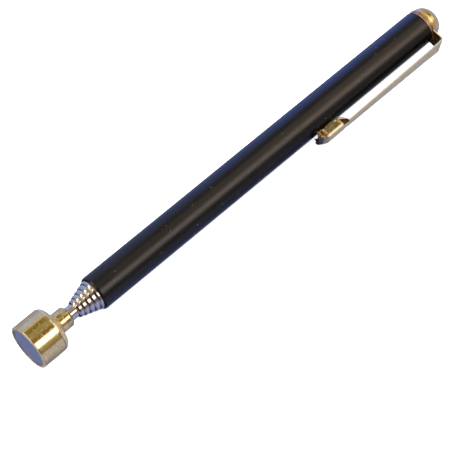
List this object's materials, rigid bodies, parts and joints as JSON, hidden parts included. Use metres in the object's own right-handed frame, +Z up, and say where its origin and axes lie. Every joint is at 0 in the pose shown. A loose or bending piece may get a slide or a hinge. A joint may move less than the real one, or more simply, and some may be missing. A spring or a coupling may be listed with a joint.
{
  "type": "magnetic pickup tool",
  "caption": "Pocket telescopic magnetic pickup tool: black handle tube with clip and domed cap, nested chromed tubes and a brass cup magnet on the tip.",
  "frame": {"origin": "centre of the magnet's working face, on the tool's axis", "axes": "+X along the tool from the magnet to the cap, +Z up; the pocket clip leans towards -Y and a little down, as the tool lies on a bench"},
  "size_m": [0.1323, 0.0132, 0.0113],
  "materials": {
    "black_paint": "satin",
    "gold_polish": "polished",
    "chrome": "polished",
    "magnet_grey": "matt nickel",
    "adhesive": "gloss",
    "brass": "machined",
    "bronze": "rolled"
  },
  "bodies": {
    "handle": {"barrel": "black_paint", "end_plug": "brass", "end_cap": "gold_polish", "clip_root": "gold_polish"},
    "clip_spring": {"clip_arm": "gold_polish"},
    "friction_1": {"friction_ring_1": "bronze"},
    "section_1": {"tube_1": "chrome", "tail_bush_1": "brass"},
    "friction_2": {"friction_ring_2": "bronze"},
    "section_2": {"tube_2": "chrome", "tail_bush_2": "brass"},
    "friction_3": {"friction_ring_3": "bronze"},
    "section_3": {"tube_3": "chrome", "tail_bush_3": "brass"},
    "friction_4": {"friction_ring_4": "bronze"},
    "section_4": {"tube_4": "chrome", "tail_bush_4": "brass"},
    "friction_5": {"friction_ring_5": "bronze"},
    "section_5": {"tube_5": "chrome", "tail_bush_5": "brass"},
    "friction_6": {"friction_ring_6": "bronze"},
    "rod_and_head": {"rod": "chrome", "rod_tail_bush": "brass", "magnet_cup": "gold_polish", "magnet": "magnet_grey", "magnet_adhesive": "adhesive"}
  },
  "joints": [
    {"name": "section_1_slide", "type": "slide", "parent": "handle", "child": "friction_1", "axis": [-1, 0, 0], "range_m": [0, 0.09763]},
    {"name": "section_1_spin", "type": "hinge", "parent": "friction_1", "child": "section_1", "pos_m": [0, 0, 0], "axis": [1, 0, 0], "continuous": true},
    {"name": "section_2_slide", "type": "slide", "parent": "section_1", "child": "friction_2", "axis": [-1, 0, 0], "range_m": [0, 0.09418]},
    {"name": "section_2_spin", "type": "hinge", "parent": "friction_2", "child": "section_2", "pos_m": [0, 0, 0], "axis": [1, 0, 0], "continuous": true},
    {"name": "section_3_slide", "type": "slide", "parent": "section_2", "child": "friction_3", "axis": [-1, 0, 0], "range_m": [0, 0.09106]},
    {"name": "section_3_spin", "type": "hinge", "parent": "friction_3", "child": "section_3", "pos_m": [0, 0, 0], "axis": [1, 0, 0], "continuous": true},
    {"name": "section_4_slide", "type": "slide", "parent": "section_3", "child": "friction_4", "axis": [-1, 0, 0], "range_m": [0, 0.08794]},
    {"name": "section_4_spin", "type": "hinge", "parent": "friction_4", "child": "section_4", "pos_m": [0, 0, 0], "axis": [1, 0, 0], "continuous": true},
    {"name": "section_5_slide", "type": "slide", "parent": "section_4", "child": "friction_5", "axis": [-1, 0, 0], "range_m": [0, 0.08482]},
    {"name": "section_5_spin", "type": "hinge", "parent": "friction_5", "child": "section_5", "pos_m": [0, 0, 0], "axis": [1, 0, 0], "continuous": true},
    {"name": "rod_slide", "type": "slide", "parent": "section_5", "child": "friction_6", "axis": [-1, 0, 0], "range_m": [0, 0.0817]},
    {"name": "rod_spin", "type": "hinge", "parent": "friction_6", "child": "rod_and_head", "pos_m": [0, 0, 0], "axis": [1, 0, 0], "continuous": true},
    {"name": "clip_flex", "type": "hinge", "parent": "handle", "child": "clip_spring", "pos_m": [0.12773, -0.00651, -0.00168], "axis": [0, -0.2504, 0.9681], "range_deg": [0, 3.5], "stiffness_Nm_per_rad": 0.06}
  ]
}
